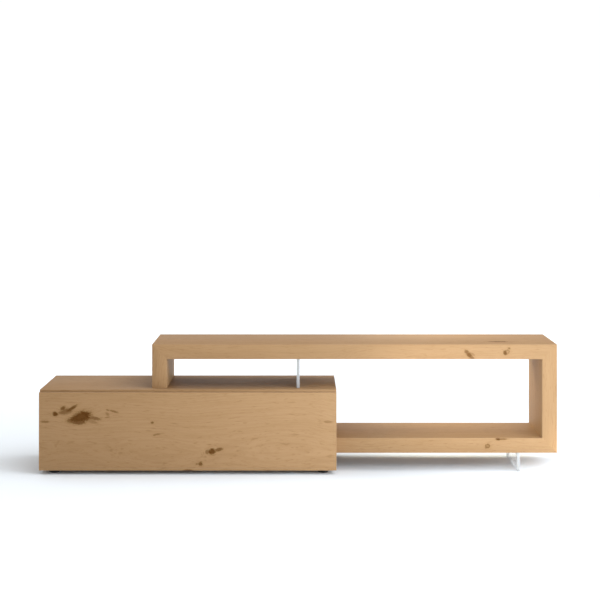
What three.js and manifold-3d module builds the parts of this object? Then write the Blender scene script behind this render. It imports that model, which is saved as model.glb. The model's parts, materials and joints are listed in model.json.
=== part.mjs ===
// A low TV stand: a wide cabinet with one drop-down flap, and an open bridge of thick boards that stands
// on the cabinet at its left end and on a clear foot plate at its right end.
// Millimetres. +X is to the right, +Y to the back and +Z up, with the origin on the floor under the
// middle of the overall box.

import * as THREE from "three";
import { mergeVertices } from "three/addons/utils/BufferGeometryUtils.js";
import Module from "manifold-3d";

const wasm = await Module();
wasm.setup();

// ---------------------------------------------------------------- driving dimensions

// Overall box
const overallWidth = 1750;
const overallDepth = 400;
const overallHeight = 431;

// Cabinet
const cabinetWidth = 1000;
const cabinetHeight = 283;
const panelThickness = 18;
const backThickness = 5;
const backInset = 12;
const grooveDepth = 6;

// Glides under the cabinet
const glideHeight = 14;
const glideTopRadius = 20;
const glideFloorRadius = 17;
const glideEdge = 1.5;
const glideInsetX = 45;
const glideInsetY = 52;

// Flap
const flapThickness = 18;
const topReveal = 7;
const openAngle = 90;

// Flap hinges
const hingeInset = 7;
const swingClearance = 1;
const hingeEndDistance = 150;
const hingeDividerDistance = 70;
const hingeWidth = 33;
const hingePinRadius = 2;
const hingeBarrelRadius = 4;
const hingeArmWidth = 20;
const hingeLeafHeight = 30;
const hingeBaseLength = 34;
const hingeBaseDepth = 12;
const hingeBaseSetback = 5;

// Flap stays
const stayPivotHeight = 107;
const stayStandoff = 14;
const stayClosedAngle = 20;
const stayRodRadius = 3;
const stayEyeRadius = 7;
const stayEyeWidth = 5;
const stayStopRadius = 5;
const stayStopLength = 5;
const swivelLength = 28;
const swivelHeight = 16;
const swivelWidth = 20;
const swivelWall = 2;
const studRadius = 3;
const studLength = 9;
const studPlateDepth = 30;
const studPlateHeight = 40;
const bracketThickness = 3;
const bracketWidth = 22;
const bracketHeight = 30;
const lugHeight = 12;
const lugOverPin = 5;
const lugGap = 1.5;
const bracketPinRadius = 2.5;

// Push latches
const latchWidth = 20;
const latchHeight = 16;
const latchRear = 25;
const latchSetback = 2;
const plungerRadius = 4;
const plungerTipEdge = 1;
const plungerLength = 44;
const plungerSpringRoom = 6;
const strikeRadius = 8;
const strikeThickness = 1.2;

// Buffers between the cabinet's front edges and the flap
const bufferRadius = 4;
const bufferInset = 24;
const bufferSlack = 0.4;

// Cable holes in the back
const cableHoleRadius = 30;
const grommetWall = 3.7;
const grommetFlangeWidth = 5;
const grommetFlangeThickness = 2;
const grommetTail = 2;
const cableHoleDrop = 65;

// Bridge
const bridgeInset = 375;
const bridgeSetback = 60;
const boardThickness = 50;
const shelfUnderside = 63;
const legSeatDepth = 2;

// Clear plates and their pins
const plateThickness = 10;
const plateDepth = 300;
const supportPlateInset = 129;
const footPlateInset = 131;
const platePinRadius = 2.5;
const platePinDepth = 12;
const platePinInset = 50;

// Bolts that join the bridge to the cabinet
const boltRadius = 3;
const boltHeadRadius = 7;
const boltHeadHeight = 3;
const boltReach = 45;
const boltSpacing = 220;

// Clearances and roundness
const fitGap = 0.3;
const seatGap = 0.05;
const runningGap = 0.1;
const turningGap = 0.5;
const holeDepthSpare = 1;
const throughCut = 1;
const joinDepth = 1;
const roundSides = 32;
const smallSides = 16;

// ---------------------------------------------------------------- derived places

const left = -overallWidth / 2;
const right = overallWidth / 2;
const front = -overallDepth / 2;
const back = overallDepth / 2;

// The flap turns inside the corner between its outer face and its bottom edge, so its inner bottom
// corner swings back past its own inner face before it comes forward.
const hingeToInnerFace = flapThickness - hingeInset;
const cornerSwing = Math.hypot(hingeToInnerFace, hingeInset) - hingeToInnerFace;
const flapGap = cornerSwing + swingClearance;
const flapInner = front + flapThickness;
const flapBottom = glideHeight;
const flapTop = cabinetHeight - topReveal;
const axisY = front + hingeInset;
const axisZ = flapBottom + hingeInset;

const carcassFront = flapInner + flapGap;
const cabinetRight = left + cabinetWidth;
const insideLeft = left + panelThickness;
const insideRight = cabinetRight - panelThickness;
const insideBottom = glideHeight + panelThickness;
const insideTop = cabinetHeight - panelThickness;
const cabinetMiddle = (left + cabinetRight) / 2;
const backPanelFront = back - backInset - backThickness;
const compartmentMiddles = [
  (insideLeft + cabinetMiddle) / 2,
  (insideRight + cabinetMiddle) / 2,
];

const bridgeLeft = left + bridgeInset;
const bridgeFront = front + bridgeSetback;
const bridgeUnderside = overallHeight - boardThickness;
const shelfTop = shelfUnderside + boardThickness;
const legFoot = cabinetHeight - legSeatDepth;
const boltPlaces = [-1, 1].map((end) => (bridgeFront + back + end * boltSpacing) / 2);

const supportPlateX = cabinetRight - supportPlateInset;
const footPlateX = right - footPlateInset;
const plateBack = bridgeFront + plateDepth;
const platePinPlaces = [bridgeFront + platePinInset, plateBack - platePinInset];

// Both pivots of a stay are equally far from the flap's axis, so its swivel turns through exactly half
// of the flap's angle, and its rod always points straight through the swivel.
const stayPivotY = hingeToInnerFace + stayStandoff;
const stayReach = Math.hypot(stayPivotY, stayPivotHeight);
const stayPivotAngle = Math.atan2(stayPivotY, stayPivotHeight);
const stayAngleAtRest = THREE.MathUtils.degToRad(stayClosedAngle);
const swivelAngle = stayPivotAngle + stayAngleAtRest;
const rodSlope = stayPivotAngle + stayAngleAtRest / 2;
const openSpan = 2 * stayReach * Math.sin((stayAngleAtRest + THREE.MathUtils.degToRad(openAngle)) / 2);
const rodLength = openSpan + swivelLength / 2 + turningGap + stayStopLength;

// Across the cabinet wall, each stay is a stack: the stud's plate, the swivel with the rod running
// through it, and the flap bracket's lug on the far side of the rod.
const swivelNear = bracketThickness + turningGap;
const swivelFar = swivelNear + swivelWidth;
const studEnd = bracketThickness + studLength;
const rodOffset = swivelFar - swivelWall - turningGap - stayRodRadius;
const lugNear = rodOffset + stayEyeWidth / 2 + lugGap;
const lugFar = lugNear + bracketThickness;

// ---------------------------------------------------------------- materials

const oak = new THREE.MeshStandardMaterial({ color: 0xc79b66, roughness: 0.62, metalness: 0 });
const zincSteel = new THREE.MeshStandardMaterial({ color: 0xb9bcc0, roughness: 0.35, metalness: 1 });
const blackPlastic = new THREE.MeshStandardMaterial({ color: 0x161616, roughness: 0.5, metalness: 0 });
const greyPlastic = new THREE.MeshStandardMaterial({ color: 0x8e9093, roughness: 0.45, metalness: 0 });
const clearAcrylic = new THREE.MeshStandardMaterial({
  color: 0xeef4f2,
  roughness: 0.05,
  metalness: 0,
  transparent: true,
  opacity: 0.35,
});
const clearRubber = new THREE.MeshStandardMaterial({ color: 0xd8d8d2, roughness: 0.3, metalness: 0 });

// ---------------------------------------------------------------- shapes

// A box between two coordinates along each axis.
function box({ x, y, z }) {
  const geometry = new THREE.BoxGeometry(1, 1, 1);
  const points = geometry.getAttribute("position");
  const ends = [x, y, z];
  for (let i = 0; i < points.count; i++) {
    ends.forEach(([low, high], axis) => {
      const isLow = points.getComponent(i, axis) < 0;
      points.setComponent(i, axis, isLow ? low : high);
    });
  }
  return geometry;
}

// A cylinder along one axis, between two coordinates on that axis. centre gives the other two.
function cylinder(axis, [low, high], centre, radius, sides = roundSides) {
  const geometry = new THREE.CylinderGeometry(radius, radius, 1, sides);
  if (axis === "x") geometry.rotateZ(Math.PI / 2);
  if (axis === "z") geometry.rotateX(Math.PI / 2);
  const place = new THREE.Vector3(0, 0, 0);
  Object.assign(place, centre);
  place[axis] = 0;
  geometry.translate(place.x, place.y, place.z);
  const points = geometry.getAttribute("position");
  const index = { x: 0, y: 1, z: 2 }[axis];
  for (let i = 0; i < points.count; i++) {
    const isLow = points.getComponent(i, index) < 0;
    points.setComponent(i, index, isLow ? low : high);
  }
  return geometry;
}

// A board whose outline is drawn in XZ and which runs from one Y to the other.
function boardOutline(corners, [low, high]) {
  const outline = new THREE.Shape(corners.map(([x, z]) => new THREE.Vector2(x, z)));
  const geometry = new THREE.ExtrudeGeometry(outline, { depth: high - low, bevelEnabled: false });
  return geometry.rotateX(Math.PI / 2).translate(0, high, 0);
}

// A turned piece about its own Z axis, from [radius, height] points.
function turned(profile, sides = roundSides) {
  const points = profile.map(([radius, height]) => new THREE.Vector2(radius, height));
  return new THREE.LatheGeometry(points, sides).rotateX(Math.PI / 2);
}

function solidOf(geometry) {
  const bare = geometry.clone();
  bare.deleteAttribute("normal");
  bare.deleteAttribute("uv");
  const merged = mergeVertices(bare, 1e-4);
  const mesh = new wasm.Mesh({
    numProp: 3,
    vertProperties: merged.getAttribute("position").array,
    triVerts: new Uint32Array(merged.index.array),
  });
  return new wasm.Manifold(mesh);
}

function geometryOf(solid) {
  const { vertProperties, triVerts } = solid.getMesh();
  const indexed = new THREE.BufferGeometry();
  indexed.setAttribute("position", new THREE.BufferAttribute(vertProperties, 3));
  indexed.setIndex(new THREE.BufferAttribute(triVerts, 1));
  const geometry = indexed.toNonIndexed();
  geometry.computeVertexNormals();
  return geometry;
}

function join(...geometries) {
  const whole = geometries.map(solidOf).reduce((sum, piece) => sum.add(piece));
  return geometryOf(whole);
}

function cut(geometry, ...tools) {
  const whole = tools.map(solidOf).reduce((rest, tool) => rest.subtract(tool), solidOf(geometry));
  return geometryOf(whole);
}

function addPiece(group, name, geometry, material) {
  const piece = new THREE.Mesh(geometry, material);
  piece.name = name;
  group.add(piece);
  return piece;
}

function groupAt(parent, x, y, z) {
  const group = new THREE.Group();
  group.position.set(x, y, z);
  parent.add(group);
  return group;
}

const around = (middle, half) => [middle - half, middle + half];

// ---------------------------------------------------------------- hinges

// One hinge stands near each end of the flap and one beside the divider.
const hingePlaces = [
  left + hingeEndDistance,
  cabinetMiddle + hingeDividerDistance,
  cabinetRight - hingeEndDistance,
];

const barrelRoom = hingeBarrelRadius + turningGap;
const baseStart = carcassFront - axisY + hingeBaseSetback;
const baseTop = insideBottom - axisZ;
const baseFloor = baseTop - hingeBaseDepth;

// Sizes are measured from the hinge's axis.
function hingeArm() {
  const acrossArm = around(0, hingeArmWidth / 2);
  const barrel = cylinder("x", acrossArm, { y: 0, z: 0 }, hingeBarrelRadius, smallSides);
  const bar = box({
    x: acrossArm,
    y: [0, baseStart + joinDepth],
    z: around(0, hingeBarrelRadius),
  });
  const base = box({
    x: around(0, hingeWidth / 2),
    y: [baseStart, baseStart + hingeBaseLength],
    z: [baseFloor + seatGap, baseTop],
  });
  const pinHole = cylinder(
    "x",
    around(0, hingeArmWidth / 2 + throughCut),
    { y: 0, z: 0 },
    hingePinRadius + runningGap,
    smallSides,
  );
  return cut(join(barrel, bar, base), pinHole);
}

function hingeLeaf() {
  const block = box({
    x: around(0, hingeWidth / 2),
    y: [-barrelRoom + fitGap, hingeToInnerFace],
    z: [-hingeInset, hingeLeafHeight - hingeInset],
  });
  const armSlot = box({
    x: around(0, hingeArmWidth / 2 + turningGap),
    y: [-flapThickness, flapThickness],
    z: [-hingeInset - throughCut, barrelRoom],
  });
  const pinHole = cylinder(
    "x",
    around(0, hingeWidth / 2 + throughCut),
    { y: 0, z: 0 },
    hingePinRadius + runningGap,
    smallSides,
  );
  return cut(block, armSlot, pinHole);
}

function hingePin() {
  return cylinder("x", around(0, hingeWidth / 2), { y: 0, z: 0 }, hingePinRadius, smallSides);
}

// The room that a hinge needs in the flap: a pocket that is open inwards and downwards.
function flapPocket(x) {
  return box({
    x: around(x, hingeWidth / 2 + fitGap),
    y: [axisY - barrelRoom, flapInner + throughCut],
    z: [flapBottom - throughCut, flapBottom + hingeLeafHeight + fitGap],
  });
}

// The room that a hinge needs in the bottom panel: a mortise for the base and a notch for the arm.
function bottomPanelRoom(x) {
  const mortise = box({
    x: around(x, hingeWidth / 2 + fitGap),
    y: [axisY + baseStart - fitGap, axisY + baseStart + hingeBaseLength + fitGap],
    z: [insideBottom - hingeBaseDepth, insideBottom + throughCut],
  });
  const notch = box({
    x: around(x, hingeArmWidth / 2 + fitGap),
    y: [carcassFront - throughCut, axisY + baseStart + joinDepth + fitGap],
    z: [axisZ - hingeBarrelRadius - fitGap, insideBottom + throughCut],
  });
  return [mortise, notch];
}

function addHinges(root) {
  hingePlaces.forEach((x, i) => {
    const hinge = groupAt(root, x, axisY, axisZ);
    addPiece(hinge, `hinge_arm_${i + 1}`, hingeArm(), zincSteel);
    addPiece(hinge, `hinge_leaf_${i + 1}`, hingeLeaf(), zincSteel);
    addPiece(hinge, `hinge_pin_${i + 1}`, hingePin(), zincSteel);
  });
}

// ---------------------------------------------------------------- stays

// side is 1 on the left wall and -1 on the right one. across() turns two distances from that wall into
// two X coordinates.
const across = (side, near, far) => [side * near, side * far].sort((a, b) => a - b);

function stayStud(side) {
  const plate = box({
    x: across(side, seatGap, bracketThickness),
    y: around(0, studPlateDepth / 2),
    z: around(0, studPlateHeight / 2),
  });
  const stud = cylinder(
    "x",
    across(side, bracketThickness - joinDepth, studEnd),
    { y: 0, z: 0 },
    studRadius,
    smallSides,
  );
  return join(plate, stud);
}

function staySwivel(side) {
  const block = box({
    x: across(side, swivelNear, swivelFar),
    y: around(0, swivelLength / 2),
    z: around(0, swivelHeight / 2),
  });
  const studHole = cylinder(
    "x",
    across(side, swivelNear - throughCut, studEnd + fitGap),
    { y: 0, z: 0 },
    studRadius + runningGap,
    smallSides,
  );
  const rodHole = cylinder(
    "y",
    around(0, swivelLength / 2 + throughCut),
    { x: side * rodOffset, z: 0 },
    stayRodRadius + turningGap,
    smallSides,
  );
  return cut(block, studHole, rodHole);
}

function stayRod(side) {
  const centre = { x: side * rodOffset, z: 0 };
  const eye = cylinder("x", around(centre.x, stayEyeWidth / 2), { y: 0, z: 0 }, stayEyeRadius, smallSides);
  const shaft = cylinder("y", [stayEyeRadius - joinDepth, rodLength], centre, stayRodRadius, smallSides);
  const stop = cylinder("y", [rodLength - stayStopLength, rodLength], centre, stayStopRadius, smallSides);
  const pinHole = cylinder(
    "x",
    around(centre.x, stayEyeWidth),
    { y: 0, z: 0 },
    bracketPinRadius + runningGap,
    smallSides,
  );
  return cut(join(eye, shaft, stop), pinHole);
}

function flapBracket(side) {
  const base = box({
    x: across(side, lugNear, lugNear + bracketWidth),
    y: [-stayStandoff + seatGap, -stayStandoff + bracketThickness],
    z: around(0, bracketHeight / 2),
  });
  const lug = box({
    x: across(side, lugNear, lugFar),
    y: [-stayStandoff + bracketThickness - joinDepth, lugOverPin],
    z: around(0, lugHeight / 2),
  });
  const pinEnd = rodOffset - stayEyeWidth / 2 - joinDepth;
  const pin = cylinder(
    "x",
    across(side, pinEnd, lugNear + joinDepth),
    { y: 0, z: 0 },
    bracketPinRadius,
    smallSides,
  );
  return join(base, lug, pin);
}

function addStays(root) {
  const walls = [
    { side: 1, wall: insideLeft, end: "left" },
    { side: -1, wall: insideRight, end: "right" },
  ];
  walls.forEach(({ side, wall, end }) => {
    const swivelY = axisY + stayReach * Math.sin(swivelAngle);
    const swivelZ = axisZ + stayReach * Math.cos(swivelAngle);
    const onWall = groupAt(root, wall, swivelY, swivelZ);
    addPiece(onWall, `stay_stud_${end}`, stayStud(side), zincSteel);
    const swivel = addPiece(onWall, `stay_swivel_${end}`, staySwivel(side), greyPlastic);
    swivel.rotation.x = -rodSlope;

    const onFlap = groupAt(root, wall, axisY + stayPivotY, axisZ + stayPivotHeight);
    addPiece(onFlap, `stay_flap_bracket_${end}`, flapBracket(side), zincSteel);
    const rod = addPiece(onFlap, `stay_rod_${end}`, stayRod(side), zincSteel);
    rod.rotation.x = -rodSlope;
  });
}

// ---------------------------------------------------------------- push latches and buffers

function addLatches(root) {
  const places = ["left", "right"];
  places.forEach((end, i) => {
    const latch = groupAt(root, compartmentMiddles[i], 0, insideTop - latchHeight / 2);
    const latchFront = carcassFront + latchSetback;
    const boreEnd = latchFront + plungerLength + plungerSpringRoom;
    const body = box({
      x: around(0, latchWidth / 2),
      y: [latchFront, boreEnd + latchRear],
      z: [-latchHeight / 2, latchHeight / 2 - seatGap],
    });
    const bore = cylinder(
      "y",
      [latchFront - throughCut, boreEnd],
      { x: 0, z: 0 },
      plungerRadius + fitGap,
      smallSides,
    );
    addPiece(latch, `latch_body_${end}`, cut(body, bore), greyPlastic);

    const strikeFace = flapInner + strikeThickness;
    const plunger = turned(
      [
        [0, 0],
        [plungerRadius - plungerTipEdge, 0],
        [plungerRadius, plungerTipEdge],
        [plungerRadius, plungerLength],
        [0, plungerLength],
      ],
      smallSides,
    );
    plunger.rotateX(-Math.PI / 2).translate(0, strikeFace + fitGap, 0);
    addPiece(latch, `latch_plunger_${end}`, plunger, blackPlastic);

    const strike = cylinder("y", [flapInner + seatGap, strikeFace], { x: 0, z: 0 }, strikeRadius, smallSides);
    addPiece(latch, `strike_plate_${end}`, strike, zincSteel);
  });
}

function addBuffers(root) {
  const places = [
    ["left", left + panelThickness / 2],
    ["right", cabinetRight - panelThickness / 2],
  ];
  places.forEach(([end, x]) => {
    const between = [flapInner + bufferSlack, carcassFront - seatGap];
    const buffer = cylinder("y", between, { x, z: flapTop - bufferInset }, bufferRadius, smallSides);
    addPiece(root, `flap_buffer_${end}`, buffer, clearRubber);
  });
}

// ---------------------------------------------------------------- cabinet

// The groove that holds the back panel runs round the inside of the four outer panels.
function backGroove() {
  return box({
    x: [insideLeft - grooveDepth, insideRight + grooveDepth],
    y: [backPanelFront - fitGap, backPanelFront + backThickness + fitGap],
    z: [insideBottom - grooveDepth, insideTop + grooveDepth],
  });
}

// The bridge's leg stands in a shallow seat that is cut into the cabinet's top and open at the back.
function legSeat() {
  return box({
    x: [bridgeLeft, bridgeLeft + boardThickness],
    y: [bridgeFront, back + throughCut],
    z: [legFoot, cabinetHeight + throughCut],
  });
}

const cableHoleZ = insideTop - cableHoleDrop;

function addCabinet(root) {
  const depth = [carcassFront, back];
  const sideHeight = [glideHeight, insideTop];

  const top = box({ x: [left, cabinetRight], y: depth, z: [insideTop, cabinetHeight] });
  const topCuts = [
    backGroove(),
    legSeat(),
    ...legBoltHoles(),
    ...platePinHoles(supportPlateX, cabinetHeight),
  ];
  addPiece(root, "cabinet_top", cut(top, ...topCuts), oak);

  const bottom = box({ x: [insideLeft, insideRight], y: depth, z: [glideHeight, insideBottom] });
  const bottomCuts = [backGroove(), ...hingePlaces.flatMap(bottomPanelRoom)];
  addPiece(root, "cabinet_bottom", cut(bottom, ...bottomCuts), oak);

  const leftSide = box({ x: [left, insideLeft], y: depth, z: sideHeight });
  addPiece(root, "cabinet_side_left", cut(leftSide, backGroove()), oak);

  const rightSide = box({ x: [insideRight, cabinetRight], y: depth, z: sideHeight });
  addPiece(root, "cabinet_side_right", cut(rightSide, backGroove(), ...shelfBoltHoles()), oak);

  const divider = box({
    x: around(cabinetMiddle, panelThickness / 2),
    y: [carcassFront, backPanelFront - fitGap],
    z: [insideBottom, insideTop],
  });
  addPiece(root, "cabinet_divider", divider, oak);

  const backPanel = box({
    x: [insideLeft - grooveDepth + fitGap, insideRight + grooveDepth - fitGap],
    y: [backPanelFront, backPanelFront + backThickness],
    z: [insideBottom - grooveDepth + fitGap, insideTop + grooveDepth - fitGap],
  });
  const throughBack = [backPanelFront - throughCut, backPanelFront + backThickness + throughCut];
  const cableHoles = compartmentMiddles.map((x) =>
    cylinder("y", throughBack, { x, z: cableHoleZ }, cableHoleRadius),
  );
  addPiece(root, "cabinet_back", cut(backPanel, ...cableHoles), oak);
}

function addGrommets(root) {
  const sleeveRadius = cableHoleRadius - fitGap;
  const grommetBoreRadius = sleeveRadius - grommetWall;
  const grommetFlangeRadius = cableHoleRadius + grommetFlangeWidth;
  const sleeveEnd = backThickness + grommetTail;
  const ring = [
    [grommetBoreRadius, -grommetFlangeThickness],
    [grommetFlangeRadius, -grommetFlangeThickness],
    [grommetFlangeRadius, -seatGap],
    [sleeveRadius, -seatGap],
    [sleeveRadius, sleeveEnd],
    [grommetBoreRadius, sleeveEnd],
    [grommetBoreRadius, -grommetFlangeThickness],
  ];
  ["left", "right"].forEach((end, i) => {
    const place = groupAt(root, compartmentMiddles[i], backPanelFront, cableHoleZ);
    addPiece(place, `cable_grommet_${end}`, turned(ring).rotateX(-Math.PI / 2), blackPlastic);
  });
}

function addGlides(root) {
  const profile = [
    [0, 0],
    [glideFloorRadius - glideEdge, 0],
    [glideFloorRadius, glideEdge],
    [glideTopRadius, glideHeight - glideEdge],
    [glideTopRadius, glideHeight - seatGap],
    [0, glideHeight - seatGap],
  ];
  const columns = { left: left + glideInsetX, right: cabinetRight - glideInsetX };
  const rows = { front: front + glideInsetY, back: back - glideInsetY };
  for (const [column, x] of Object.entries(columns)) {
    for (const [row, y] of Object.entries(rows)) {
      addPiece(groupAt(root, x, y, 0), `glide_${row}_${column}`, turned(profile), blackPlastic);
    }
  }
}

// ---------------------------------------------------------------- flap

function addFlap(root) {
  const panel = box({ x: [left, cabinetRight], y: [front, flapInner], z: [flapBottom, flapTop] });
  addPiece(root, "flap", cut(panel, ...hingePlaces.map(flapPocket)), oak);
}

// ---------------------------------------------------------------- bridge

// The boards meet in mitres at the leg, at the upright's top and at its foot.
function addBridge(root) {
  const depth = [bridgeFront, back];
  const top = boardOutline(
    [
      [bridgeLeft, overallHeight],
      [bridgeLeft + boardThickness, bridgeUnderside],
      [right - boardThickness, bridgeUnderside],
      [right, overallHeight],
    ],
    depth,
  );
  addPiece(root, "bridge_top", cut(top, ...platePinHoles(supportPlateX, bridgeUnderside)), oak);

  const leg = boardOutline(
    [
      [bridgeLeft, legFoot],
      [bridgeLeft + boardThickness, legFoot],
      [bridgeLeft + boardThickness, bridgeUnderside],
      [bridgeLeft, overallHeight],
    ],
    depth,
  );
  addPiece(root, "bridge_leg", cut(leg, ...legBoltHoles()), oak);

  const upright = boardOutline(
    [
      [right, shelfUnderside],
      [right, overallHeight],
      [right - boardThickness, bridgeUnderside],
      [right - boardThickness, shelfTop],
    ],
    depth,
  );
  addPiece(root, "bridge_upright", upright, oak);

  const shelf = boardOutline(
    [
      [cabinetRight, shelfUnderside],
      [right, shelfUnderside],
      [right - boardThickness, shelfTop],
      [cabinetRight, shelfTop],
    ],
    depth,
  );
  const shelfCuts = [...shelfBoltHoles(), ...platePinHoles(footPlateX, shelfUnderside)];
  addPiece(root, "bridge_shelf", cut(shelf, ...shelfCuts), oak);
}

// ---------------------------------------------------------------- clear plates, pins and bolts

// Blind holes for the pins that cross the face at height z, as deep above it as below.
function platePinHoles(x, z) {
  const depth = platePinDepth + fitGap;
  return platePinPlaces.map((y) =>
    cylinder("z", around(z, depth), { x, y }, platePinRadius + fitGap, smallSides),
  );
}

function addClearPlates(root) {
  const supportPlate = { foot: cabinetHeight, head: bridgeUnderside, ends: ["foot", "head"] };
  const footPlate = { foot: 0, head: shelfUnderside, ends: ["head"] };
  const plates = [
    { name: "support_plate", x: supportPlateX, ...supportPlate },
    { name: "foot_plate", x: footPlateX, ...footPlate },
  ];
  plates.forEach((plate) => {
    const sheet = box({
      x: around(plate.x, plateThickness / 2),
      y: [bridgeFront, plateBack],
      z: [plate.foot, plate.head],
    });
    const holes = plate.ends.flatMap((end) => platePinHoles(plate.x, plate[end]));
    addPiece(root, plate.name, cut(sheet, ...holes), clearAcrylic);

    plate.ends.forEach((end) => {
      platePinPlaces.forEach((y, i) => {
        const length = around(plate[end], platePinDepth);
        const pin = cylinder("z", length, { x: plate.x, y }, platePinRadius, smallSides);
        const place = i === 0 ? "front" : "back";
        addPiece(root, `${plate.name}_${end}_pin_${place}`, pin, zincSteel);
      });
    });
  });
}

const legBoltX = bridgeLeft + boardThickness / 2;
const shelfBoltZ = shelfUnderside + boardThickness / 2;

function legBoltHoles() {
  const depth = [insideTop - throughCut, cabinetHeight + boltReach + holeDepthSpare];
  return boltPlaces.map((y) => cylinder("z", depth, { x: legBoltX, y }, boltRadius + fitGap, smallSides));
}

function shelfBoltHoles() {
  const depth = [insideRight - throughCut, cabinetRight + boltReach + holeDepthSpare];
  return boltPlaces.map((y) => cylinder("x", depth, { y, z: shelfBoltZ }, boltRadius + fitGap, smallSides));
}

// A bolt along an axis, with its head against the face at faceAt and its shank reaching to tipAt.
function bolt(axis, faceAt, tipAt, centre) {
  const head = [faceAt - boltHeadHeight, faceAt - seatGap];
  return join(
    cylinder(axis, head, centre, boltHeadRadius, smallSides),
    cylinder(axis, [faceAt - joinDepth, tipAt], centre, boltRadius, smallSides),
  );
}

function addBolts(root) {
  boltPlaces.forEach((y, i) => {
    const place = i === 0 ? "front" : "back";
    const legBolt = bolt("z", insideTop, cabinetHeight + boltReach, { x: legBoltX, y });
    addPiece(root, `leg_bolt_${place}`, legBolt, zincSteel);
    const shelfBolt = bolt("x", insideRight, cabinetRight + boltReach, { y, z: shelfBoltZ });
    addPiece(root, `shelf_bolt_${place}`, shelfBolt, zincSteel);
  });
}

// ---------------------------------------------------------------- assembly

const tvStand = new THREE.Group();
addCabinet(tvStand);
addGrommets(tvStand);
addGlides(tvStand);
addFlap(tvStand);
addHinges(tvStand);
addStays(tvStand);
addLatches(tvStand);
addBuffers(tvStand);
addBridge(tvStand);
addClearPlates(tvStand);
addBolts(tvStand);

export default tvStand;
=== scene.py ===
"""The finished look of the TV stand: oak-decor boards and flap, clear plates, steel hardware and plastic
fittings. Metres, with +X to the right, +Y to the back and +Z up."""

import json
import math

import bmesh
import bpy
from mathutils import Matrix, Vector


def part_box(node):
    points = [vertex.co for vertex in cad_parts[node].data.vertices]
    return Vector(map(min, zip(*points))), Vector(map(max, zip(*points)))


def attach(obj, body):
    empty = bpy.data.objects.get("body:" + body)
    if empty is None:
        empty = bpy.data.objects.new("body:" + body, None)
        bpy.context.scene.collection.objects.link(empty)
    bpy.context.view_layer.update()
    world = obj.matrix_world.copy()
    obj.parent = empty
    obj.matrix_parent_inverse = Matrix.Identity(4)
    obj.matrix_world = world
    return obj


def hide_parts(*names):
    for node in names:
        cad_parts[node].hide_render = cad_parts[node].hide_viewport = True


MM = 0.001
EDGE_LAYER = "edge"

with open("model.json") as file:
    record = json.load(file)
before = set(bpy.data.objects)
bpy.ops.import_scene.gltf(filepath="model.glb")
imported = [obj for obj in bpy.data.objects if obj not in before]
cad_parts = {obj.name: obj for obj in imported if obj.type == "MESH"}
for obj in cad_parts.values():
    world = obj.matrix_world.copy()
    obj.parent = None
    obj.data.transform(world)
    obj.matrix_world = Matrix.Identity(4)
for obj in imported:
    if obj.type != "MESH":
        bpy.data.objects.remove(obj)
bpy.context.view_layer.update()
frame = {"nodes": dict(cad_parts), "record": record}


# ---------------------------------------------------------------- shader maths


class Value:
    """A number, vector or colour that varies over a surface, with the operators that shader maths needs."""

    def __init__(self, paint, socket):
        self.paint = paint
        self.socket = socket

    def maths(self, operation, *others):
        return self.paint.node("ShaderNodeMath", {"operation": operation}, dict(enumerate((self, *others))))

    def __add__(self, other):
        return self.maths("ADD", other)

    def __sub__(self, other):
        return self.maths("SUBTRACT", other)

    def __mul__(self, other):
        return self.maths("MULTIPLY", other)

    def __truediv__(self, other):
        return self.maths("DIVIDE", other)

    def __pow__(self, other):
        return self.maths("POWER", other)

    def __rsub__(self, other):
        return self.paint.node("ShaderNodeMath", {"operation": "SUBTRACT"}, {0: other, 1: self})

    __radd__ = __add__
    __rmul__ = __mul__

    def sine(self):
        return self.maths("SINE")

    def exponent(self):
        return self.maths("EXPONENT")

    def size(self):
        return self.maths("ABSOLUTE")

    def largest(self, other):
        return self.maths("MAXIMUM", other)

    def rise(self, low, high, to_low=0.0, to_high=1.0):
        """Goes smoothly from to_low to to_high as this value goes from low to high."""
        settings = {"interpolation_type": "SMOOTHSTEP"}
        values = {"Value": self, "From Min": low, "From Max": high, "To Min": to_low, "To Max": to_high}
        return self.paint.node("ShaderNodeMapRange", settings, values)


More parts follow.
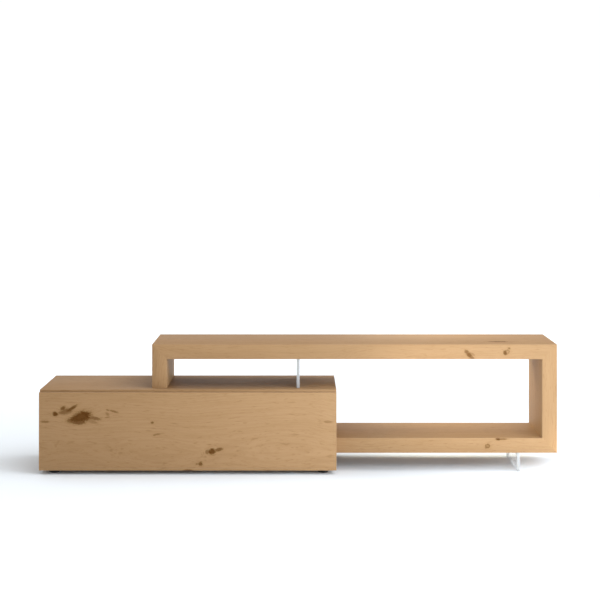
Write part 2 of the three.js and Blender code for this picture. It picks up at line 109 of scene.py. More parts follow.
class Paint:
    """One material, or the world, while its nodes are being added."""

    def __init__(self, owner):
        self.owner = owner
        owner.use_nodes = True
        self.tree = owner.node_tree
        self.tree.nodes.clear()

    def node(self, kind, settings=None, values=None, output=0):
        """Adds a node, sets it up, fills or links its inputs, and gives back one of its outputs."""
        made = self.tree.nodes.new(kind)
        for name, setting in (settings or {}).items():
            setattr(made, name, setting)
        for name, value in (values or {}).items():
            if isinstance(value, Value):
                self.tree.links.new(value.socket, made.inputs[name])
            else:
                made.inputs[name].default_value = value
        return Value(self, made.outputs[output])

    def position(self, space="Object"):
        """X, Y and Z in the object's own space, in metres, or of a direction in the sky."""
        place = self.node("ShaderNodeTexCoord", output=space)
        first = self.node("ShaderNodeSeparateXYZ", values={0: place})
        return [Value(self, socket) for socket in first.socket.node.outputs]

    def worn_edge(self):
        """1 on the eased edges of a piece and 0 elsewhere."""
        return self.node("ShaderNodeAttribute", {"attribute_name": EDGE_LAYER}, output="Fac")

    def vector(self, x, y, z):
        return self.node("ShaderNodeCombineXYZ", values={0: x, 1: y, 2: z})

    def noise(self, vector, scale=1.0, detail=2.0, roughness=0.5):
        values = {"Vector": vector, "Scale": scale, "Detail": detail, "Roughness": roughness}
        return self.node("ShaderNodeTexNoise", {"noise_dimensions": "3D"}, values)

    def mix(self, amount, first, second):
        settings = {"data_type": "RGBA", "blend_type": "MIX", "clamp_factor": True}
        return self.node("ShaderNodeMix", settings, {0: amount, 6: first, 7: second}, output=2)

    def bump(self, height, distance, strength):
        values = {"Strength": strength, "Distance": distance, "Height": height}
        return self.node("ShaderNodeBump", values=values)

    def finish(self, **inputs):
        """Adds the surface shader. Input names are the shader's own, with _ for a space."""
        values = {name.replace("_", " "): value for name, value in inputs.items()}
        shader = self.node("ShaderNodeBsdfPrincipled", values=values)
        surface = self.tree.nodes.new("ShaderNodeOutputMaterial")
        self.tree.links.new(shader.socket, surface.inputs["Surface"])
        return self.owner


def colour(red, green, blue):
    return (red, green, blue, 1.0)


# ---------------------------------------------------------------- oak decor

OAK_LIGHT = colour(0.360, 0.216, 0.106)
OAK_MIDDLE = colour(0.330, 0.194, 0.092)
OAK_DARK = colour(0.205, 0.106, 0.042)
OAK_WORN = colour(0.400, 0.255, 0.145)
KNOT_HALO = colour(0.250, 0.140, 0.052)
KNOT_RIM = colour(0.165, 0.078, 0.018)
KNOT_HEART = colour(0.090, 0.030, 0.003)
KNOT_CRACK = colour(0.036, 0.013, 0.002)

RING_SPACING = 8.0 * MM
LATE_WOOD_SHARPNESS = 2.6
LATE_WOOD_FAINTEST = 0.03
LATE_WOOD_STRONGEST = 0.10
HEART_DRIFT = 0.15
HEART_SWAY = 0.06
RING_WAVER = 1.8 * MM
KNOT_REACH = 0.30
KNOT_SWELL = 0.9
GRAIN_DEPTH = 0.25 * MM
OAK_GLOSS = 1.15


class Knot:
    """A knot: its centre and half-sizes in metres, its slant in the XZ plane in degrees, how dark it is
    from 0 to 1, and whether it is a ring with a paler middle."""

    def __init__(self, centre, half_sizes, slant=0.0, strength=1.0, ring=False):
        self.centre = centre
        self.half_sizes = half_sizes
        self.slant = slant
        self.strength = strength
        self.ring = ring


def knot_distance(position, knot):
    """How far a point is from a knot's centre: 1 at its edge."""
    x, y, z = [axis - middle for axis, middle in zip(position, knot.centre)]
    turn = math.radians(knot.slant)
    along = x * math.cos(turn) + z * math.sin(turn)
    across = z * math.cos(turn) - x * math.sin(turn)
    half_along, half_deep, half_across = knot.half_sizes
    along_part = (along / half_along) * (along / half_along)
    across_part = (across / half_across) * (across / half_across)
    deep_part = (y / half_deep) * (y / half_deep)
    return (along_part + across_part + deep_part) ** 0.5


def largest_of(values):
    whole = values[0]
    for value in values[1:]:
        whole = whole.largest(value)
    return whole


def oak(name, heart, seed, along="x", knots=()):
    """Oak decor with its grain along one axis. heart is where the log's middle runs, in the other two axes,
    and seed moves the pattern, so that no two boards are alike."""
    paint = Paint(bpy.data.materials.new(name))
    position = paint.position()
    x, y, z = position
    length, across, deep = {"x": (x, z, y), "y": (y, x, z), "z": (z, x, y)}[along]

    # Growth rings are circles about the log's heart, which wanders slowly along the board.
    wander = paint.vector(length * 0.9, seed, seed * 1.7)
    drift = paint.noise(wander, scale=1.5, detail=2.0, roughness=0.5) - 0.5
    sway = paint.noise(wander, scale=3.1, detail=1.0) - 0.5
    from_heart = across - heart[0] + drift * HEART_DRIFT
    behind_heart = deep - heart[1] + sway * HEART_SWAY
    ring_radius = (from_heart * from_heart + behind_heart * behind_heart) ** 0.5

    # The rings part around each knot.
    coarse = paint.vector(x * 0.6, y * 0.6, z)
    fine = paint.vector(x * 0.5, y * 0.5, z)
    coarse_tear = paint.noise(coarse, scale=85.0, detail=2.0, roughness=0.6) - 0.5
    fine_tear = paint.noise(fine, scale=330.0, detail=2.0, roughness=0.6) - 0.5
    tear = coarse_tear * 0.90 + fine_tear * 1.10
    halos = []
    rims = []
    hearts = []
    for knot in knots:
        distance = knot_distance(position, knot)
        swell = KNOT_SWELL * knot.strength * knot.half_sizes[2]
        ring_radius = ring_radius + (distance * distance * -KNOT_REACH).exponent() * swell
        ragged = distance + tear
        halos.append((distance + tear * 0.7).rise(2.4, 0.8) * knot.strength)
        if knot.ring:
            rims.append(ragged.rise(1.35, 0.65) * (knot.strength * 0.45))
            hearts.append((ragged - 0.78).size().rise(0.42, 0.05) * (knot.strength * 0.6))
        else:
            rims.append(ragged.rise(1.60, 0.60) * knot.strength)
            hearts.append(ragged.rise(1.35, 0.60) * knot.strength)

    waver = paint.vector(length * 5.0, across * 30.0, deep * 30.0)
    ring_radius = ring_radius + (paint.noise(waver, detail=3.0, roughness=0.6) - 0.5) * RING_WAVER
    phase = ring_radius * (math.tau / RING_SPACING)
    late_wood = (phase.sine() * 0.5 + 0.5) ** LATE_WOOD_SHARPNESS

    # Fibres, pores, dashes and streaks follow the rings.
    around = across * 90.0 + deep * 110.0 + seed
    fibres = paint.noise(
        paint.vector(length * 8.0, ring_radius * 420.0, around), detail=3.0, roughness=0.65
    )
    pores = paint.noise(paint.vector(length * 36.0, ring_radius * 900.0, around * 2.3), detail=2.0)
    dashes = paint.noise(
        paint.vector(length * 34.0 + seed, ring_radius * 300.0, around * 0.8), detail=1.0
    )
    streaks = paint.noise(
        paint.vector(length * 2.2 + seed, ring_radius * 75.0, around * 0.3), detail=3.0
    )
    clouds = paint.noise(
        paint.vector(length * 1.7 + seed, across * 9.0, deep * 9.0), detail=3.0, roughness=0.55
    )
    pores = pores.rise(0.60, 0.72)
    dashes = dashes.rise(0.60, 0.74)

    tone = clouds.rise(0.28, 0.72) * 0.60 + streaks.rise(0.30, 0.70) * 0.40
    body = paint.mix(tone, OAK_MIDDLE, OAK_LIGHT)
    late_wood_shows = clouds.rise(0.42, 0.62, LATE_WOOD_FAINTEST, LATE_WOOD_STRONGEST)
    body = paint.mix(late_wood * late_wood_shows, body, OAK_DARK)
    body = paint.mix(fibres.rise(0.36, 0.58, 0.17, 0.0), body, OAK_DARK)
    body = paint.mix(dashes * 0.34, body, OAK_DARK)
    body = paint.mix(pores * 0.34, body, OAK_DARK)
    if knots:
        cracks = paint.noise(paint.vector(x * 160.0, y * 160.0, z * 420.0), detail=3.0, roughness=0.7)
        rim = largest_of(rims)
        core = largest_of(hearts)
        crumbs = coarse_tear.rise(-0.14, 0.12, 1.0, 0.84)
        body = paint.mix(largest_of(halos) * 0.34, body, KNOT_HALO)
        body = paint.mix(rim * 0.74, body, KNOT_RIM)
        body = paint.mix(core * crumbs * 0.94, body, KNOT_HEART)
        body = paint.mix(core * cracks.rise(0.54, 0.64) * 0.8, body, KNOT_CRACK)
    body = paint.mix(paint.worn_edge() * clouds.rise(0.40, 0.60, 0.25, 0.60), body, OAK_WORN)

    relief = fibres * 0.6 - pores * 0.9 - dashes * 0.3 - late_wood * 0.12
    rough = 0.56 + pores * 0.12 - fibres * 0.10 + clouds * 0.08
    return paint.finish(
        Base_Color=body,
        Roughness=rough,
        Normal=paint.bump(relief, GRAIN_DEPTH, 0.5),
        IOR=OAK_GLOSS,
    )


# ---------------------------------------------------------------- other finishes

STEEL_TONE = 0.60
STEEL_WORN = colour(0.80, 0.80, 0.79)
STEEL_ROUGHNESS = 0.34
SCRATCH_DEPTH = 0.04 * MM
MOULD_GRAIN = 900.0
MOULD_GRAIN_DEPTH = 0.06 * MM
SAW_MARK_DEPTH = 0.08 * MM


def steel(name):
    """Zinc-plated steel: a pale metal with fine scratches and slightly cloudy plating."""
    paint = Paint(bpy.data.materials.new(name))
    x, y, z = paint.position()
    scratches = paint.noise(paint.vector(x * 900, y * 60, z * 900), detail=3.0, roughness=0.7)
    clouds = paint.noise(paint.vector(x, y, z), scale=140.0, detail=3.0)
    shade = paint.mix(
        clouds.rise(0.3, 0.7),
        colour(STEEL_TONE * 0.90, STEEL_TONE * 0.91, STEEL_TONE * 0.93),
        colour(STEEL_TONE * 1.08, STEEL_TONE * 1.08, STEEL_TONE * 1.06),
    )
    shade = paint.mix(paint.worn_edge() * 0.5, shade, STEEL_WORN)
    rough = STEEL_ROUGHNESS + (scratches - 0.5) * 0.18 + (clouds - 0.5) * 0.10
    return paint.finish(
        Base_Color=shade,
        Metallic=1.0,
        Roughness=rough,
        Normal=paint.bump(scratches, SCRATCH_DEPTH, 0.35),
    )


def plastic(name, dark, light, roughness):
    """Moulded plastic with a fine spark-eroded grain, rubbed smoother at its edges."""
    paint = Paint(bpy.data.materials.new(name))
    x, y, z = paint.position()
    place = paint.vector(x, y, z)
    texture = paint.noise(place, scale=MOULD_GRAIN, detail=2.0, roughness=0.6)
    clouds = paint.noise(place, scale=60.0, detail=2.0)
    shade = paint.mix(clouds.rise(0.3, 0.7), dark, light)
    rough = roughness + (texture - 0.5) * 0.16 + (clouds - 0.5) * 0.12 - paint.worn_edge() * 0.12
    return paint.finish(
        Base_Color=shade,
        Roughness=rough,
        Normal=paint.bump(texture, MOULD_GRAIN_DEPTH, 0.5),
    )


def clear_sheet(name):
    """Clear acrylic sheet, with the faintest haze of handling."""
    paint = Paint(bpy.data.materials.new(name))
    x, y, z = paint.position()
    haze = paint.noise(paint.vector(x, y, z), scale=18.0, detail=4.0, roughness=0.6)
    return paint.finish(
        Base_Color=paint.mix(haze.rise(0.3, 0.7), colour(0.76, 0.77, 0.77), colour(0.84, 0.85, 0.85)),
        Roughness=haze.rise(0.45, 0.75, 0.06, 0.14),
        Alpha=0.35,
        Transmission_Weight=0.60,
        IOR=1.49,
    )


def sawn_edge(name):
    """The satin edge of a clear sheet, where the saw's fine marks scatter the light."""
    paint = Paint(bpy.data.materials.new(name))
    x, y, z = paint.position()
    marks = paint.noise(paint.vector(x * 300, y * 1400, z * 1400), detail=3.0, roughness=0.7)
    return paint.finish(
        Base_Color=paint.mix(marks, colour(0.37, 0.365, 0.355), colour(0.45, 0.445, 0.435)),
        Roughness=marks.rise(0.3, 0.7, 0.34, 0.52),
        Normal=paint.bump(marks, SAW_MARK_DEPTH, 0.5),
        Transmission_Weight=0.25,
        IOR=1.35,
    )


# ---------------------------------------------------------------- pieces

SMOOTH_ANGLE = math.radians(32.0)
CORNER_ANGLE = math.radians(60.0)
FLAT_ANGLE = math.radians(1.0)
MERGE_DISTANCE = 1e-6
ALONG_AXIS = 0.999
EDGE_SEGMENTS = 2


def new_piece(name, shape, materials, body, *nodes, slot):
    """Makes a finished piece from a bmesh, on a body, standing for the CAD nodes named."""
    for face in shape.faces:
        face.smooth = True
    for edge in shape.edges:
        edge.smooth = len(edge.link_faces) == 2 and edge.calc_face_angle(math.pi) < SMOOTH_ANGLE
    mesh = bpy.data.meshes.new(name)
    shape.to_mesh(mesh)
    shape.free()
    piece = bpy.data.objects.new(name, mesh)
    bpy.context.scene.collection.objects.link(piece)
    for material in materials:
        mesh.materials.append(material)
    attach(piece, body)
    if nodes:
        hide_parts(*nodes)


def body_of(node):
    bodies = frame["record"]["behaviour"]["bodies"]
    return next(body for body, nodes in bodies.items() if node in nodes)


def slot_of(node):
    rows = frame["record"]["subparts"]
    return next(row["material_slot"] for row in rows if row["node"] == node)


def cad_shape(node):
    """A CAD node's solid as one joined-up bmesh with its flat faces whole."""
    shape = bmesh.new()
    shape.from_mesh(frame["nodes"][node].data)
    bmesh.ops.remove_doubles(shape, verts=shape.verts, dist=MERGE_DISTANCE)
    bmesh.ops.dissolve_limit(
        shape,
        angle_limit=FLAT_ANGLE,
        use_dissolve_boundaries=False,
        verts=shape.verts,
        edges=shape.edges,
    )
    return shape


def is_square_edge(edge):
    """Whether two faces that each look along an axis meet squarely, on the outside, at this edge."""
    if len(edge.link_faces) != 2 or not edge.is_convex:
        return False
    first, second = [face.normal for face in edge.link_faces]
    straight = all(max(map(abs, normal)) > ALONG_AXIS for normal in (first, second))
    return straight and abs(first.dot(second)) < 0.1


def is_sharp_edge(edge):
    """Whether two faces meet at an outside corner at this edge."""
    return len(edge.link_faces) == 2 and edge.is_convex and edge.calc_face_angle() > CORNER_ANGLE


def ease(shape, width, chosen=is_square_edge):
    """Rounds a shape's chosen edges, and marks the new faces as worn edge."""
    edge_mark = shape.faces.layers.float.new(EDGE_LAYER)
    edges = [edge for edge in shape.edges if chosen(edge)]
    made = bmesh.ops.bevel(
        shape,
        geom=edges,
        offset=width,
        offset_type="OFFSET",
        affect="EDGES",
        segments=EDGE_SEGMENTS,
        profile=0.5,
        material=-1,
        clamp_overlap=True,
    )
    for face in made["faces"]:
        face[edge_mark] = 1.0
    return shape


def eased_node(node, material, width, chosen=is_square_edge):
    """A CAD node's own shape with its edges broken and a finish of its own."""
    shape = ease(cad_shape(node), width, chosen)
    new_piece(f"{node}_finished", shape, [material], body_of(node), node, slot=slot_of(node))


# ---------------------------------------------------------------- boards

BOARD_EDGE = 0.8 * MM
FLAP_KNOT_DEPTH = 30 * MM
FRONT_KNOT_DEPTH = 6 * MM

flap_low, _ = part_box("flap")
top_low, top_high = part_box("bridge_top")
shelf_low, shelf_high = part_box("bridge_shelf")


def on_flap(from_left, up, half_width, half_height, **look):
    """A knot in the flap's face, placed from its lower left corner."""
    centre = (flap_low.x + from_left, flap_low.y, flap_low.z + up)
    return Knot(centre, (half_width, FLAP_KNOT_DEPTH, half_height), **look)


flap_knots = [
    on_flap(0.147, 0.182, 0.026, 0.0165, slant=6),
    on_flap(0.128, 0.174, 0.027, 0.0125, slant=14, strength=0.95),
    on_flap(0.134, 0.162, 0.024, 0.0068, slant=2, strength=0.72),
    on_flap(0.183, 0.176, 0.024, 0.0054, slant=-10, strength=0.52),
    on_flap(0.176, 0.166, 0.020, 0.0060, slant=-20, strength=0.22),
    on_flap(0.108, 0.207, 0.021, 0.0050, slant=32, strength=0.84),
    on_flap(0.091, 0.199, 0.022, 0.0090, slant=14, strength=0.52),
    on_flap(0.080, 0.209, 0.009, 0.0054, slant=35, strength=0.70),
    on_flap(0.055, 0.190, 0.0085, 0.0062, slant=-15, strength=0.90),
    on_flap(0.021, 0.164, 0.013, 0.0040, strength=0.42),
    on_flap(0.251, 0.199, 0.014, 0.0032, slant=-14, strength=0.42),
    on_flap(0.232, 0.203, 0.006, 0.0024, slant=-20, strength=0.36),
    on_flap(0.231, 0.190, 0.007, 0.0045, slant=-40, strength=0.28),
    on_flap(0.231, 0.179, 0.008, 0.0022, slant=10, strength=0.26),
    on_flap(0.381, 0.161, 0.0050, 0.0034, strength=0.60),
    on_flap(0.398, 0.122, 0.010, 0.0024, slant=4, strength=0.34),
    on_flap(0.388, 0.119, 0.004, 0.0026, strength=0.30),
    on_flap(0.582, 0.064, 0.0110, 0.0082, slant=10, strength=0.95),
    on_flap(0.604, 0.070, 0.0150, 0.0048, slant=14, strength=0.62),
    on_flap(0.566, 0.062, 0.0060, 0.0070, strength=0.40),
    on_flap(0.544, 0.023, 0.0072, 0.0060, slant=-25, strength=0.72),
    on_flap(0.532, 0.022, 0.0060, 0.0030, strength=0.34),
    on_flap(0.972, 0.164, 0.016, 0.0036, slant=-3, strength=0.26),
    on_flap(0.502, 0.000, 0.014, 0.0032, strength=0.90),
]


def on_front(board_high, low, from_right, up, half_width, half_height, **look):
    """A knot in a board's front edge, placed from its lower right corner."""
    centre = (board_high.x - from_right, low.y, low.z + up)
    return Knot(centre, (half_width, FRONT_KNOT_DEPTH, half_height), **look)


bridge_top_knots = [
    on_front(top_high, top_low, 0.298, 0.014, 0.0100, 0.0070, strength=0.78, slant=-40),
    on_front(top_high, top_low, 0.306, 0.024, 0.0095, 0.0055, strength=0.58, slant=-45),
    on_front(top_high, top_low, 0.290, 0.005, 0.0100, 0.0045, strength=0.50, slant=-35),
    on_front(top_high, top_low, 0.288, 0.018, 0.0100, 0.0035, strength=0.24, slant=-30),
    on_front(top_high, top_low, 0.176, 0.021, 0.0052, 0.0064, strength=0.74, slant=25),
    on_front(top_high, top_low, 0.170, 0.025, 0.0100, 0.0072, strength=0.62, slant=30, ring=True),
    on_front(top_high, top_low, 0.163, 0.036, 0.0050, 0.0028, strength=0.40),
    Knot((top_high.x - 0.189, top_low.y + 0.090, top_high.z), (0.030, 0.016, 0.02), strength=0.50),
]
shelf_knots = [
    on_front(shelf_high, shelf_low, 0.236, 0.023, 0.0084, 0.0074, strength=0.95, ring=True),
    on_front(shelf_high, shelf_low, 0.239, 0.019, 0.0055, 0.0032, strength=0.50, slant=30),
    on_front(shelf_high, shelf_low, 0.200, 0.047, 0.0080, 0.0040, strength=0.95),
    on_front(shelf_high, shelf_low, 0.184, 0.047, 0.0130, 0.0028, strength=0.62),
]

board_looks = {
    "flap": dict(heart=(0.075, -0.085), seed=3.1, knots=flap_knots),
    "cabinet_top": dict(heart=(0.05, 0.05), seed=7.7),
    "cabinet_bottom": dict(heart=(-0.2, 0.1), seed=12.4),
    "cabinet_side_left": dict(heart=(-0.60, 0.10), seed=15.2, along="y"),
    "cabinet_side_right": dict(heart=(-0.16, 0.12), seed=21.9, along="y"),
    "cabinet_divider": dict(heart=(-0.62, 0.14), seed=25.3, along="y"),
    "cabinet_back": dict(heart=(0.16, 0.45), seed=31.6),
    "bridge_top": dict(heart=(0.16, 0.02), seed=42.8, knots=bridge_top_knots),
    "bridge_leg": dict(heart=(-0.34, 0.10), seed=47.1, along="z"),
    "bridge_upright": dict(heart=(0.66, 0.06), seed=53.5, along="z"),
    "bridge_shelf": dict(heart=(-0.18, 0.07), seed=61.3, knots=shelf_knots),
}

for node, look in board_looks.items():
    eased_node(node, oak(f"oak_{node}", **look), BOARD_EDGE)


# ---------------------------------------------------------------- hardware and fittings

zinc = steel("zinc_steel")
black = plastic("black_plastic", colour(0.012, 0.012, 0.013), colour(0.022, 0.022, 0.023), roughness=0.45)
grey = plastic("grey_plastic", colour(0.24, 0.245, 0.25), colour(0.31, 0.315, 0.32), roughness=0.40)
rubber = plastic("clear_rubber", colour(0.62, 0.62, 0.60), colour(0.74, 0.74, 0.71), roughness=0.30)
acrylic = clear_sheet("clear_acrylic")
acrylic_edge = sawn_edge("clear_acrylic_edge")

# Each slot's finish, and how wide its broken edges are
slot_finish = {
    "zinc_steel": (zinc, 0.35 * MM),
    "black_plastic": (black, 0.6 * MM),
    "grey_plastic": (grey, 0.5 * MM),
    "clear_rubber": (rubber, 0.3 * MM),
}

LEFTWARD = (-1, 0, 0)
RIGHTWARD = (1, 0, 0)
BACKWARD = (0, 1, 0)
UPWARD = (0, 0, 1)
DOWNWARD = (0, 0, -1)


def recess(shape, face, outline, depth):
    """Sinks a straight-sided hole of the outline's shape into a flat face."""
    inward = face.normal * -depth
    rim = list(face.edges)
    bmesh.ops.delete(shape, geom=[face], context="FACES_ONLY")
    corners = [shape.verts.new(point) for point in outline]
    mouth = [shape.edges.new(pair) for pair in zip(corners, corners[1:] + corners[:1])]
    bmesh.ops.bridge_loops(shape, edges=rim + mouth)
    walls = bmesh.ops.extrude_edge_only(shape, edges=mouth)["geom"]
    foot = [part for part in walls if isinstance(part, bmesh.types.BMVert)]
    bmesh.ops.translate(shape, vec=inward, verts=foot)
    bmesh.ops.edgeloop_fill(shape, edges=[part for part in walls if isinstance(part, bmesh.types.BMEdge)])
    bmesh.ops.recalc_face_normals(shape, faces=shape.faces)


def turned_to(direction, centre):
    """The placement that takes +Z to a direction at a centre."""
    turn = Vector(direction).to_track_quat("Z", "Y").to_matrix().to_4x4()
    return Matrix.Translation(Vector(centre)) @ turn


def end_face(shape, direction):
    """A shape's furthest flat face along a direction."""
    facing = [face for face in shape.faces if face.normal.dot(Vector(direction)) > ALONG_AXIS]
    return max(facing, key=lambda face: face.calc_center_median().dot(Vector(direction)))


SCREW_RADIUS = 2.4 * MM
SCREW_TOP_SHARE = 0.86
SCREW_SIDES = 24
SCREW_HEIGHT = 1.1 * MM
CROSS_REACH = 1.5 * MM
CROSS_HALF_WIDTH = 0.32 * MM
CROSS_DEPTH = 0.8 * MM


def cross_outline():
    """The outline of a screw head's cross recess, on its top."""
    wide, long = CROSS_HALF_WIDTH, CROSS_REACH
    arm = [(wide, wide), (long, wide), (long, -wide)]
    points = []
    for quarter in range(4):
        turn = Matrix.Rotation(math.radians(-90.0 * quarter), 4, "Z")
        points += [turn @ Vector((px, py, SCREW_HEIGHT)) for px, py in arm]
    return points


def screw_head():
    """A pan head with a cross recess, its underside at z = 0."""
    head = bmesh.new()
    bmesh.ops.create_cone(
        head,
        cap_ends=True,
        segments=SCREW_SIDES,
        radius1=SCREW_RADIUS,
        radius2=SCREW_RADIUS * SCREW_TOP_SHARE,
        depth=SCREW_HEIGHT,
        matrix=Matrix.Translation((0.0, 0.0, SCREW_HEIGHT / 2)),
    )
    recess(head, end_face(head, UPWARD), cross_outline(), CROSS_DEPTH)
    return head


def screws(name, node, direction, *centres):
    """Screw heads on a fitting, which hold it to its board."""
    whole = bmesh.new()
    mesh = bpy.data.meshes.new("screw_head")
    head = screw_head()
    head.to_mesh(mesh)
    head.free()
    for place in centres:
        start = len(whole.verts)
        whole.from_mesh(mesh)
        whole.verts.ensure_lookup_table()
        bmesh.ops.transform(whole, matrix=turned_to(direction, place), verts=whole.verts[start:])
    bpy.data.meshes.remove(mesh)
    new_piece(name, whole, [zinc], body_of(node), slot="zinc_steel")


def hex_outline(centre, direction, radius):
    """A hexagon about a centre, square to a direction."""
    turn = turned_to(direction, centre)
    corners = [math.radians(60.0 * i) for i in range(6)]
    return [turn @ Vector((radius * math.cos(a), radius * math.sin(a), 0.0)) for a in corners]


HEX_RADIUS = 3.4 * MM
HEX_DEPTH = 2.0 * MM
BOLT_EDGE = 0.4 * MM
PLATE_EDGE = 0.5 * MM


def bolt(node, direction):
    """A bolt with a hexagon socket in its head, which looks along the direction."""
    shape = ease(cad_shape(node), BOLT_EDGE, chosen=is_sharp_edge)
    face = end_face(shape, direction)
    centre = face.calc_center_median()
    recess(shape, face, hex_outline(centre, direction, HEX_RADIUS), HEX_DEPTH)
    new_piece(f"{node}_finished", shape, [zinc], body_of(node), node, slot=slot_of(node))


def clear_plate(node):
    """A clear plate: polished on its sides, its top and its foot, and satin on its front and back edges."""
    shape = ease(cad_shape(node), PLATE_EDGE)
    for face in shape.faces:
        polished = abs(face.normal.x) > 0.9 or abs(face.normal.z) > 0.9
        face.material_index = 0 if polished else 1
    materials = [acrylic, acrylic_edge]
    new_piece(f"{node}_finished", shape, materials, body_of(node), node, slot="clear_acrylic")


bolts = {
    "leg_bolt_front": DOWNWARD,
    "leg_bolt_back": DOWNWARD,
    "shelf_bolt_front": LEFTWARD,
    "shelf_bolt_back": LEFTWARD,
}

for node, direction in bolts.items():
    bolt(node, direction)
for node in ("support_plate", "foot_plate"):
    clear_plate(node)
for node in sorted(frame["nodes"]):
    if slot_of(node) in slot_finish and node not in bolts:
        finish, edge_width = slot_finish[slot_of(node)]
        eased_node(node, finish, edge_width, is_sharp_edge)


# ---------------------------------------------------------------- screws in the fittings

HINGE_NUMBERS = (1, 2, 3)
LEAF_SCREW_REACH = 9 * MM
LEAF_SCREW_DROP = 5 * MM
ARM_SCREW_REACH = 10 * MM
ARM_SCREW_INSET = 12 * MM
STUD_PLATE = 3 * MM
STUD_SCREW_DEPTH = 11.5 * MM
STUD_SCREW_RISE = 16.5 * MM
BRACKET_PLATE = 3 * MM
BRACKET_SCREW_INSET = 8 * MM
BRACKET_SCREW_RISE = 10 * MM
SCREW_SINK = 0.05 * MM
LATCH_SCREW_INSET = 9 * MM


def hinge_screws(number):
    """Two screws in a hinge's leaf and two in its arm."""
    leaf, arm = f"hinge_leaf_{number}", f"hinge_arm_{number}"
    low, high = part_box(leaf)
    middle = (low.x + high.x) / 2
    height = high.z - LEAF_SCREW_DROP
    spots = [(middle + side * LEAF_SCREW_REACH, high.y, height) for side in (-1, 1)]
    screws(f"{leaf}_screws", leaf, BACKWARD, *spots)
    low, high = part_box(arm)
    depth = high.y - ARM_SCREW_INSET
    spots = [(middle + side * ARM_SCREW_REACH, depth, high.z) for side in (-1, 1)]
    screws(f"{arm}_screws", arm, UPWARD, *spots)


def stud_screws(end, inward):
    """Two screws in opposite corners of a stay's wall plate."""
    stud = f"stay_stud_{end}"
    low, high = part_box(stud)
    middle = (low + high) / 2
    middle.x = low.x + STUD_PLATE if inward == RIGHTWARD else high.x - STUD_PLATE
    corner = Vector((0.0, STUD_SCREW_DEPTH, -STUD_SCREW_RISE))
    screws(f"{stud}_screws", stud, inward, middle - corner, middle + corner)


def bracket_screws(end, inward):
    """Two screws in a stay's bracket on the flap, one above the other."""
    bracket = f"stay_flap_bracket_{end}"
    low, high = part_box(bracket)
    far = high.x - BRACKET_SCREW_INSET if inward == RIGHTWARD else low.x + BRACKET_SCREW_INSET
    depth = low.y + BRACKET_PLATE - SCREW_SINK
    middle = (low.z + high.z) / 2
    spots = [(far, depth, middle + side * BRACKET_SCREW_RISE) for side in (-1, 1)]
    screws(f"{bracket}_screws", bracket, BACKWARD, *spots)


def latch_screws(end):
    """Two screws under a latch's body, near its front and its back."""
    latch = f"latch_body_{end}"
    low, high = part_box(latch)
    middle = (low.x + high.x) / 2
    spots = [(middle, depth, low.z) for depth in (low.y + LATCH_SCREW_INSET, high.y - LATCH_SCREW_INSET)]
    screws(f"{latch}_screws", latch, DOWNWARD, *spots)


for number in HINGE_NUMBERS:
    hinge_screws(number)
for end, inward in (("left", RIGHTWARD), ("right", LEFTWARD)):
    stud_screws(end, inward)
    bracket_screws(end, inward)
    latch_screws(end)


# ---------------------------------------------------------------- stage, light and camera

FLOOR_HALF_SIZE = 40.0
FLOOR_GLOW = 0.30
# The squares of the distances from the middle at which the glow starts and is full
GLOW_REACH = (1.2, 9.0)


def make_floor():
    """A pale floor that brightens into the backdrop away from the stand."""
    paint = Paint(bpy.data.materials.new("pale_floor"))
    x, y, z = paint.position()
    speckle = paint.noise(paint.vector(x, y, z), scale=7.0, detail=4.0)
    pale = paint.mix(speckle, colour(0.865, 0.912, 0.955), colour(0.875, 0.922, 0.965))
    glow = (x * x + y * y).rise(*GLOW_REACH, 0.0, FLOOR_GLOW)
    material = paint.finish(
        Base_Color=pale,
        Roughness=0.85,
        Specular_IOR_Level=0.1,
        Emission_Color=paint.mix(glow, colour(0.0, 0.0, 0.0), colour(1.0, 1.0, 1.0)),
        Emission_Strength=1.0,
    )
    shape = bmesh.new()
    bmesh.ops.create_grid(shape, x_segments=8, y_segments=8, size=FLOOR_HALF_SIZE)
    mesh = bpy.data.meshes.new("floor")
    shape.to_mesh(mesh)
    shape.free()
    mesh.materials.append(material)
    floor = bpy.data.objects.new("floor", mesh)
    bpy.context.scene.collection.objects.link(floor)


def area_light(name, place, target, size, power, tint, spread=180.0, highlights=True):
    """A round soft lamp that looks from one place at another. spread is its beam's angle in degrees, and
    highlights is whether it shows in gloss."""
    light = bpy.data.lights.new(name, "AREA")
    light.shape = "DISK"
    light.size = size
    light.energy = power
    light.color = tint
    light.spread = math.radians(spread)
    thing = bpy.data.objects.new(name, light)
    thing.location = place
    thing.rotation_euler = (Vector(target) - Vector(place)).to_track_quat("-Z", "Y").to_euler()
    thing.visible_camera = False
    thing.visible_glossy = highlights
    bpy.context.scene.collection.objects.link(thing)


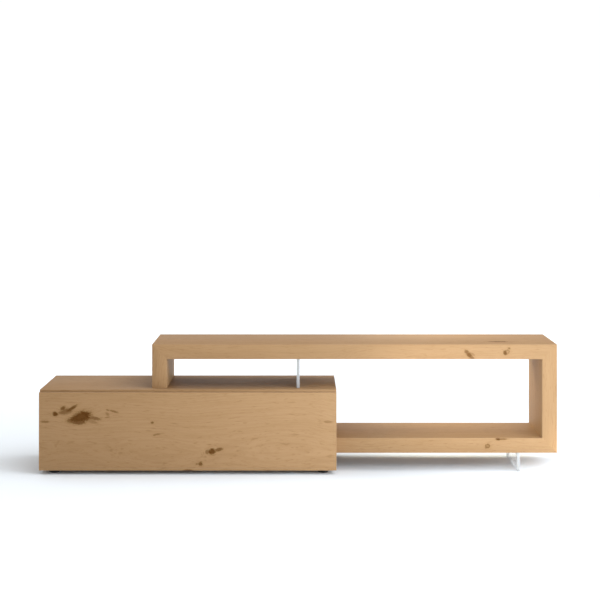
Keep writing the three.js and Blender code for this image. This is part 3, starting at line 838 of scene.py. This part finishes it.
def make_sky():
    """White behind the stand and along the horizon, a broad soft glow from the front right, another
    overhead, and dim elsewhere."""
    sky = Paint(bpy.data.worlds.new("studio"))
    x, y, z = sky.position("Generated")
    behind = y.rise(-0.40, 0.10, 0.05, 1.00)
    horizon = z.rise(0.24, 0.10)
    right = (x * 0.80 - y * 0.50 + z * 0.30).rise(0.50, 0.95)
    overhead = z.rise(0.60, 0.95)
    strength = (behind + right * 3.07 + overhead * 0.61).largest(horizon * 1.28)
    backdrop = sky.node("ShaderNodeBackground", values={"Strength": strength})
    whole = sky.tree.nodes.new("ShaderNodeOutputWorld")
    sky.tree.links.new(backdrop.socket, whole.inputs["Surface"])
    return sky.owner


# A key lamp in front, and smaller ones that lift the tops, the shelf, the upright's inner side and the
# floor at the foot plate. Power is in watts.
LAMPS = {
    "key": dict(
        place=(1.00, -1.40, 0.50),
        target=(0.50, -0.20, 0.30),
        size=0.90,
        power=17.5,
        tint=(0.93, 1.08, 1.24),
    ),
    "back": dict(
        place=(0.55, 0.90, 1.30),
        target=(0.45, 0.00, 0.10),
        size=0.80,
        power=5.0,
        tint=(1.00, 1.03, 1.06),
        highlights=False,
    ),
    "shelf": dict(
        place=(0.30, 0.80, 0.68),
        target=(0.68, -0.02, 0.15),
        size=0.35,
        power=1.3,
        tint=(1.03, 0.98, 0.78),
        spread=70.0,
        highlights=False,
    ),
    "opening": dict(
        place=(0.10, -0.55, 0.40),
        target=(0.85, 0.00, 0.25),
        size=0.30,
        power=0.44,
        tint=(1.00, 1.00, 1.00),
        spread=70.0,
        highlights=False,
    ),
    "foot": dict(
        place=(1.30, -0.27, 0.17),
        target=(0.78, -0.08, 0.00),
        size=0.15,
        power=0.16,
        tint=(1.00, 1.00, 1.00),
        spread=36.0,
        highlights=False,
    ),
}


def make_light():
    bpy.context.scene.world = make_sky()
    for name, settings in LAMPS.items():
        area_light(name, **settings)


CAMERA_PLACE = (0.004, -5.866, 1.054)
CAMERA_LENS = 101.2
CAMERA_SENSOR = 36.0
CAMERA_SHIFT = (-0.0008, -0.2317)
CAMERA_REACH = 200.0


def make_camera():
    data = bpy.data.cameras.new("camera")
    data.sensor_width = CAMERA_SENSOR
    data.lens = CAMERA_LENS
    data.shift_x, data.shift_y = CAMERA_SHIFT
    data.clip_end = CAMERA_REACH
    camera = bpy.data.objects.new("camera", data)
    camera.location = CAMERA_PLACE
    camera.rotation_euler = (math.radians(90.0), 0.0, 0.0)
    bpy.context.scene.collection.objects.link(camera)
    bpy.context.scene.camera = camera


make_floor()
make_light()
make_camera()
bpy.context.scene.view_settings.view_transform = "Standard"
